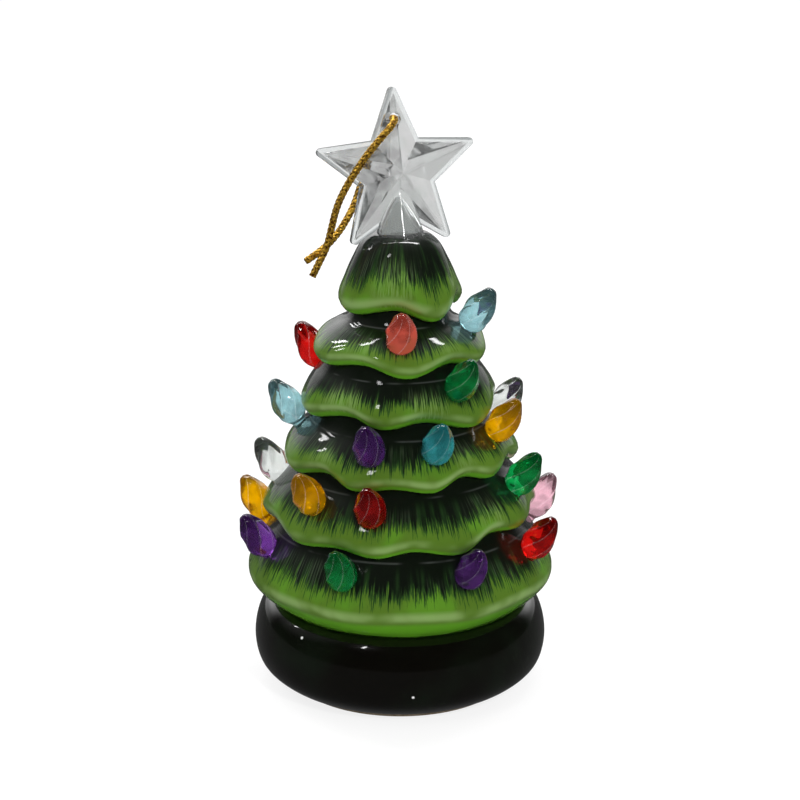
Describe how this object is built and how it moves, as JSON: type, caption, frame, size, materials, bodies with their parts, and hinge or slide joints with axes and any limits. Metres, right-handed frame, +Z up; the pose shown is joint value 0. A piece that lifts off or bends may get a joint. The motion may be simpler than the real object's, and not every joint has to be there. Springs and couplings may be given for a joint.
{
  "type": "ceramic christmas tree",
  "caption": "Glazed ceramic tabletop Christmas tree with scalloped tiers, twisted translucent bulbs, a clear star, a gold hanging loop and a battery light in its base.",
  "frame": {"origin": "middle of the foot, on the surface the tree stands on", "axes": "+Z up along the tree, -Y towards the front seen in the picture, +X to the right"},
  "size_m": [0.0711, 0.067, 0.1317],
  "materials": {
    "tree_glaze": "hand-brushed, clear gloss glaze",
    "base_glaze": "dark gloss glaze",
    "clear_plastic": "clear moulded",
    "gold_cord": "metallic braid",
    "housing_plastic": "moulded",
    "knob_plastic": "moulded",
    "plated_steel": "nickel plated",
    "cell_steel": "bright steel can",
    "board": "solder mask",
    "led_lens": "clear epoxy",
    "bulb_amber": "translucent moulded",
    "bulb_aqua": "translucent moulded",
    "bulb_clear": "translucent moulded",
    "bulb_coral": "translucent moulded",
    "bulb_green": "translucent moulded",
    "bulb_pink": "translucent moulded",
    "bulb_purple": "translucent moulded",
    "bulb_red": "translucent moulded",
    "bulb_teal": "translucent moulded"
  },
  "bodies": {
    "tree": {"bulb_01_coral": "bulb_coral", "bulb_02_aqua": "bulb_aqua", "bulb_03_amber": "bulb_amber", "bulb_04_green": "bulb_green", "bulb_05_purple": "bulb_purple", "bulb_06_clear": "bulb_clear", "bulb_07_red": "bulb_red", "bulb_08_aqua": "bulb_aqua", "bulb_09_purple": "bulb_purple", "bulb_10_teal": "bulb_teal", "bulb_11_amber": "bulb_amber", "bulb_12_clear": "bulb_clear", "bulb_13_red": "bulb_red", "bulb_14_green": "bulb_green", "bulb_15_amber": "bulb_amber", "bulb_16_clear": "bulb_clear", "bulb_17_amber": "bulb_amber", "bulb_18_red": "bulb_red", "bulb_19_green": "bulb_green", "bulb_20_purple": "bulb_purple", "bulb_21_aqua": "bulb_aqua", "bulb_22_pink": "bulb_pink", "bulb_23_amber": "bulb_amber", "bulb_24_purple": "bulb_purple", "bulb_25_green": "bulb_green", "bulb_26_purple": "bulb_purple", "bulb_27_red": "bulb_red", "bulb_28_pink": "bulb_pink", "bulb_29_green": "bulb_green", "bulb_30_red": "bulb_red", "button_cell_1": "cell_steel", "button_cell_2": "cell_steel", "button_cell_3": "cell_steel", "flat_contact": "plated_steel", "light_board": "board", "light_housing": "housing_plastic", "light_led": "led_lens", "spring_contact": "plated_steel", "star_topper": "clear_plastic", "switch_can": "plated_steel", "tree_base": "base_glaze", "tree_body": "tree_glaze"},
    "hanging_loop": {"hang_cord_front": "gold_cord", "hang_cord_back": "gold_cord"},
    "battery_door": {"battery_door": "housing_plastic", "door_screw": "plated_steel"},
    "switch_knob": {"switch_knob": "knob_plastic"}
  },
  "joints": [
    {"name": "loop_swing", "type": "hinge", "parent": "tree", "child": "hanging_loop", "pos_m": [-0.0014, 0.00354, 0.1251], "axis": [-0.2639, 0.9518, -0.1564], "range_deg": [0, 150]},
    {"name": "door_hinge", "type": "hinge", "parent": "tree", "child": "battery_door", "pos_m": [-0.0108, 0, 0.0022], "axis": [0, 1, 0], "range_deg": [0, 70]},
    {"name": "switch_slide", "type": "slide", "parent": "tree", "child": "switch_knob", "axis": [1, 0, 0], "range_m": [0, 0.003]}
  ]
}
